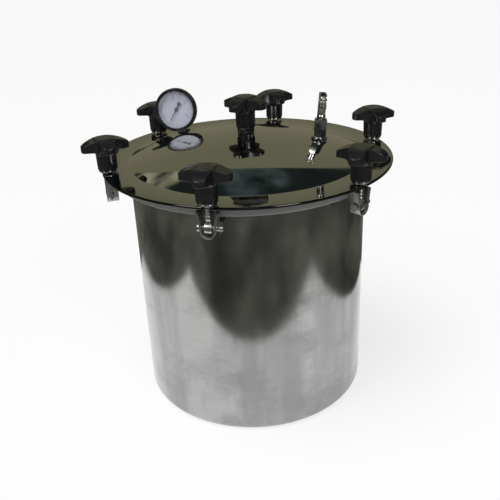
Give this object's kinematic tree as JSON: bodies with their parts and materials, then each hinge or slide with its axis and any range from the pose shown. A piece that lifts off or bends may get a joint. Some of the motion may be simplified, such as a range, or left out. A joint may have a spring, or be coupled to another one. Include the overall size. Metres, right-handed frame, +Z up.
{
  "type": "portable autoclave",
  "caption": "Portable steam autoclave: polished steel vessel with a domed lid, swing bolts with black four-armed knobs, pressure gauge and release valve.",
  "frame": {"origin": "centre of the vessel's flat base, on the surface it stands on", "axes": "+Z up; -Y is the front; the pressure gauge is on the -X side of the lid and the release valve on the +X side"},
  "size_m": [0.3678, 0.4087, 0.3985],
  "materials": {
    "cloudy_steel": "buffed stainless steel with cloudy streaks",
    "mirror_steel": "mirror-polished stainless steel",
    "satin_steel": "satin stainless steel",
    "chrome_plate": "bright chrome plate",
    "black_bakelite": "moulded black bakelite, glossy",
    "black_rubber": "matt black rubber",
    "black_enamel": "glossy black enamel",
    "dial_white": null,
    "gauge_glass": "clear flat glass",
    "brass": "machined brass",
    "label_grey": "blank dark plate"
  },
  "bodies": {
    "root": {"vessel_shell": "cloudy_steel", "rim_ring": "mirror_steel", "lid_gasket": "black_rubber", "clamp_brackets": "satin_steel", "hinge_pins": "satin_steel", "split_pins": "satin_steel", "support_stand": "cloudy_steel"},
    "basket": {"basket": "satin_steel"},
    "bail": {"basket_bail": "satin_steel"},
    "lid": {"lid_shell": "mirror_steel", "label_plate": "label_grey", "handle_knob": "black_bakelite", "handle_insert": "brass", "handle_stud": "satin_steel", "handle_nut": "chrome_plate", "handle_lock_nut": "satin_steel", "gauge_case": "black_enamel", "gauge_bezel": "black_enamel", "gauge_glass": "gauge_glass", "gauge_dial": "dial_white", "gauge_socket": "chrome_plate", "bourdon_tube": "brass", "gauge_movement": "brass", "gauge_lock_nut": "satin_steel", "valve_ring": "chrome_plate", "valve_base": "chrome_plate", "valve_barrel": "chrome_plate", "valve_lock_nut": "satin_steel"},
    "pointer": {"gauge_pointer": "black_enamel"},
    "valve_stem": {"valve_stem": "satin_steel", "valve_pin": "satin_steel"},
    "valve_lever": {"valve_lever": "chrome_plate"},
    "bolt_1": {"swing_bolt_1": "satin_steel"},
    "washer_1": {"clamp_washer_1": "satin_steel"},
    "knob_1": {"clamp_knob_1": "black_bakelite", "clamp_insert_1": "brass"},
    "bolt_2": {"swing_bolt_2": "satin_steel"},
    "washer_2": {"clamp_washer_2": "satin_steel"},
    "knob_2": {"clamp_knob_2": "black_bakelite", "clamp_insert_2": "brass"},
    "bolt_3": {"swing_bolt_3": "satin_steel"},
    "washer_3": {"clamp_washer_3": "satin_steel"},
    "knob_3": {"clamp_knob_3": "black_bakelite", "clamp_insert_3": "brass"},
    "bolt_4": {"swing_bolt_4": "satin_steel"},
    "washer_4": {"clamp_washer_4": "satin_steel"},
    "knob_4": {"clamp_knob_4": "black_bakelite", "clamp_insert_4": "brass"},
    "bolt_5": {"swing_bolt_5": "satin_steel"},
    "washer_5": {"clamp_washer_5": "satin_steel"},
    "knob_5": {"clamp_knob_5": "black_bakelite", "clamp_insert_5": "brass"},
    "bolt_6": {"swing_bolt_6": "satin_steel"},
    "washer_6": {"clamp_washer_6": "satin_steel"},
    "knob_6": {"clamp_knob_6": "black_bakelite", "clamp_insert_6": "brass"}
  },
  "joints": [
    {"name": "lid_lift", "type": "slide", "parent": "root", "child": "lid", "axis": [0, 0, 1], "range_m": [0, 0.34]},
    {"name": "basket_lift", "type": "slide", "parent": "root", "child": "basket", "axis": [0, 0, 1], "range_m": [0, 0.289]},
    {"name": "bail_swing", "type": "hinge", "parent": "basket", "child": "bail", "pos_m": [0, 0, 0.1951], "axis": [1, 0, 0], "range_deg": [0, 180]},
    {"name": "pointer_sweep", "type": "hinge", "parent": "lid", "child": "pointer", "pos_m": [-0.10696, 0.05217, 0.36642], "axis": [-0.0544, 0.9901, -0.1294], "range_deg": [0, 270]},
    {"name": "valve_stem_lift", "type": "slide", "parent": "lid", "child": "valve_stem", "axis": [0.0861, 0.0136, 0.9962], "range_m": [0, 0.003]},
    {"name": "valve_lever_turn", "type": "hinge", "parent": "valve_stem", "child": "valve_lever", "pos_m": [0.0951, 0.01506, 0.39018], "axis": [0.9622, 0.2582, -0.0867], "range_deg": [0, 150]},
    {"name": "bolt_1_swing", "type": "hinge", "parent": "root", "child": "bolt_1", "pos_m": [0.15242, 0.088, 0.296], "axis": [0.5, -0.866, 0], "range_deg": [-110, 0]},
    {"name": "knob_1_unscrew", "type": "slide", "parent": "bolt_1", "child": "washer_1", "axis": [0, 0, 1], "range_m": [0, 0.391]},
    {"name": "knob_1_turn", "type": "hinge", "parent": "washer_1", "child": "knob_1", "pos_m": [0.15242, 0.088, 0.296], "axis": [0, 0, 1], "continuous": true},
    {"name": "bolt_2_swing", "type": "hinge", "parent": "root", "child": "bolt_2", "pos_m": [0, 0.176, 0.296], "axis": [1, 0, 0], "range_deg": [-110, 0]},
    {"name": "knob_2_unscrew", "type": "slide", "parent": "bolt_2", "child": "washer_2", "axis": [0, 0, 1], "range_m": [0, 0.391]},
    {"name": "knob_2_turn", "type": "hinge", "parent": "washer_2", "child": "knob_2", "pos_m": [0, 0.176, 0.296], "axis": [0, 0, 1], "continuous": true},
    {"name": "bolt_3_swing", "type": "hinge", "parent": "root", "child": "bolt_3", "pos_m": [-0.15242, 0.088, 0.296], "axis": [0.5, 0.866, 0], "range_deg": [-110, 0]},
    {"name": "knob_3_unscrew", "type": "slide", "parent": "bolt_3", "child": "washer_3", "axis": [0, 0, 1], "range_m": [0, 0.391]},
    {"name": "knob_3_turn", "type": "hinge", "parent": "washer_3", "child": "knob_3", "pos_m": [-0.15242, 0.088, 0.296], "axis": [0, 0, 1], "continuous": true},
    {"name": "bolt_4_swing", "type": "hinge", "parent": "root", "child": "bolt_4", "pos_m": [-0.15242, -0.088, 0.296], "axis": [-0.5, 0.866, 0], "range_deg": [-110, 0]},
    {"name": "knob_4_unscrew", "type": "slide", "parent": "bolt_4", "child": "washer_4", "axis": [0, 0, 1], "range_m": [0, 0.391]},
    {"name": "knob_4_turn", "type": "hinge", "parent": "washer_4", "child": "knob_4", "pos_m": [-0.15242, -0.088, 0.296], "axis": [0, 0, 1], "continuous": true},
    {"name": "bolt_5_swing", "type": "hinge", "parent": "root", "child": "bolt_5", "pos_m": [0, -0.176, 0.296], "axis": [-1, 0, 0], "range_deg": [-110, 0]},
    {"name": "knob_5_unscrew", "type": "slide", "parent": "bolt_5", "child": "washer_5", "axis": [0, 0, 1], "range_m": [0, 0.391]},
    {"name": "knob_5_turn", "type": "hinge", "parent": "washer_5", "child": "knob_5", "pos_m": [0, -0.176, 0.296], "axis": [0, 0, 1], "continuous": true},
    {"name": "bolt_6_swing", "type": "hinge", "parent": "root", "child": "bolt_6", "pos_m": [0.15242, -0.088, 0.296], "axis": [-0.5, -0.866, 0], "range_deg": [-110, 0]},
    {"name": "knob_6_unscrew", "type": "slide", "parent": "bolt_6", "child": "washer_6", "axis": [0, 0, 1], "range_m": [0, 0.391]},
    {"name": "knob_6_turn", "type": "hinge", "parent": "washer_6", "child": "knob_6", "pos_m": [0.15242, -0.088, 0.296], "axis": [0, 0, 1], "continuous": true}
  ],
  "couplings": [
    {"joint": "basket_lift", "follows": "lid_lift", "ratio": 0.85},
    {"joint": "valve_lever_turn", "follows": "valve_stem_lift", "rad_per_m": 872.58},
    {"joint": "knob_1_unscrew", "follows": "lid_lift", "ratio": 1.15},
    {"joint": "knob_2_unscrew", "follows": "lid_lift", "ratio": 1.15},
    {"joint": "knob_3_unscrew", "follows": "lid_lift", "ratio": 1.15},
    {"joint": "knob_4_unscrew", "follows": "lid_lift", "ratio": 1.15},
    {"joint": "knob_5_unscrew", "follows": "lid_lift", "ratio": 1.15},
    {"joint": "knob_6_unscrew", "follows": "lid_lift", "ratio": 1.15}
  ]
}
